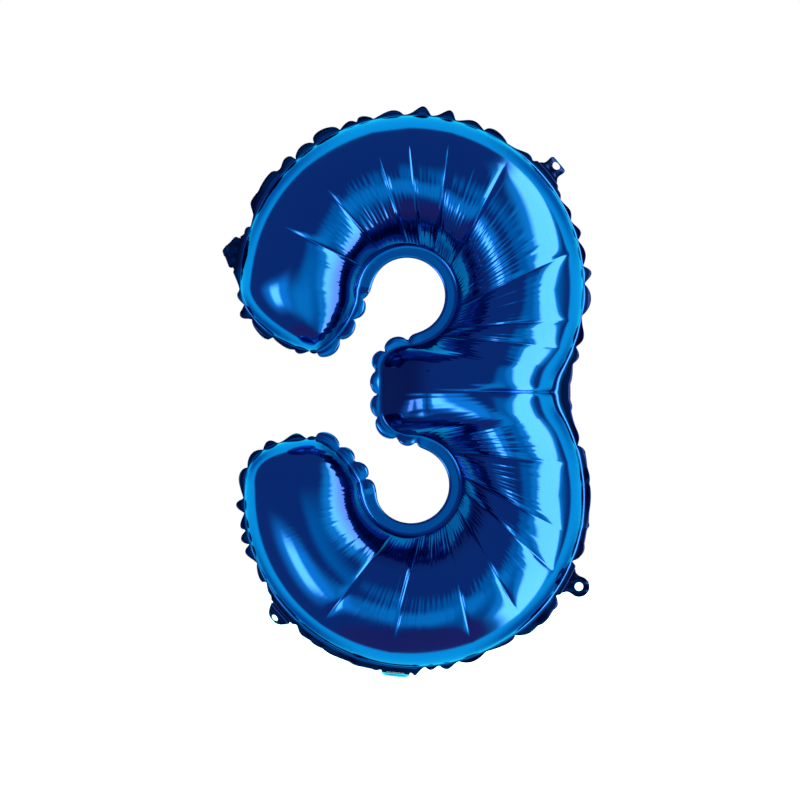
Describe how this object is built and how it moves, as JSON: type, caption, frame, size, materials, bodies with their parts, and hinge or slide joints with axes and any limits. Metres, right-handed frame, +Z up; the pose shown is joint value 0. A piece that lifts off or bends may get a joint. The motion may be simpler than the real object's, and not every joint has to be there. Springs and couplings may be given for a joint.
{
  "type": "foil number balloon",
  "caption": "Inflated metallised-film balloon shaped as a numeral three, with a scalloped welded seam, punched hanging tabs and a self-sealing inflation tail.",
  "frame": {"origin": "below the middle of the whole object, at the height of its lowest point, in the plane of the seam", "axes": "+Z up along the numeral's height, +X to the right as it is read, -Y the way its front faces, so +Y runs through its thickness"},
  "size_m": [0.2392, 0.0696, 0.3623],
  "materials": {
    "foil": "metallised film, mirror gloss, royal blue",
    "weld": "melted sealing layer, seen only as a thin edge",
    "valve_film": "clear soft polythene film"
  },
  "bodies": {
    "balloon": {"front_panel": "foil", "back_panel": "foil", "heat_seal": "weld", "valve_front_film": "valve_film", "valve_back_film": "valve_film"},
    "tail": {"inflation_tail": "foil"},
    "tab_left": {"tab_left": "foil"},
    "tab_upper_right": {"tab_upper_right": "foil"},
    "tab_lower_left": {"tab_lower_left": "foil"},
    "tab_lower_right": {"tab_lower_right": "foil"}
  },
  "joints": [
    {"name": "tab_left_fold", "type": "hinge", "parent": "balloon", "child": "tab_left", "pos_m": [-0.1058, 0, 0.26905], "axis": [-0.1908, 0, -0.9816], "range_deg": [-85, 85], "stiffness_Nm_per_rad": 0.0005},
    {"name": "tab_upper_right_fold", "type": "hinge", "parent": "balloon", "child": "tab_upper_right", "pos_m": [0.09194, 0, 0.3202], "axis": [-0.6428, 0, 0.766], "range_deg": [-85, 85], "stiffness_Nm_per_rad": 0.0005},
    {"name": "tab_lower_left_fold", "type": "hinge", "parent": "balloon", "child": "tab_lower_left", "pos_m": [-0.07785, 0, 0.04048], "axis": [0.6561, 0, -0.7547], "range_deg": [-85, 85], "stiffness_Nm_per_rad": 0.0005},
    {"name": "tab_lower_right_fold", "type": "hinge", "parent": "balloon", "child": "tab_lower_right", "pos_m": [0.10486, 0, 0.06049], "axis": [0.4772, 0, 0.8788], "range_deg": [-85, 85], "stiffness_Nm_per_rad": 0.0005},
    {"name": "tail_fold", "type": "hinge", "parent": "balloon", "child": "tail", "pos_m": [-0.00513, 0, 0.00263], "axis": [0.9945, 0, -0.1045], "range_deg": [-82, 25], "stiffness_Nm_per_rad": 0.0005}
  ]
}
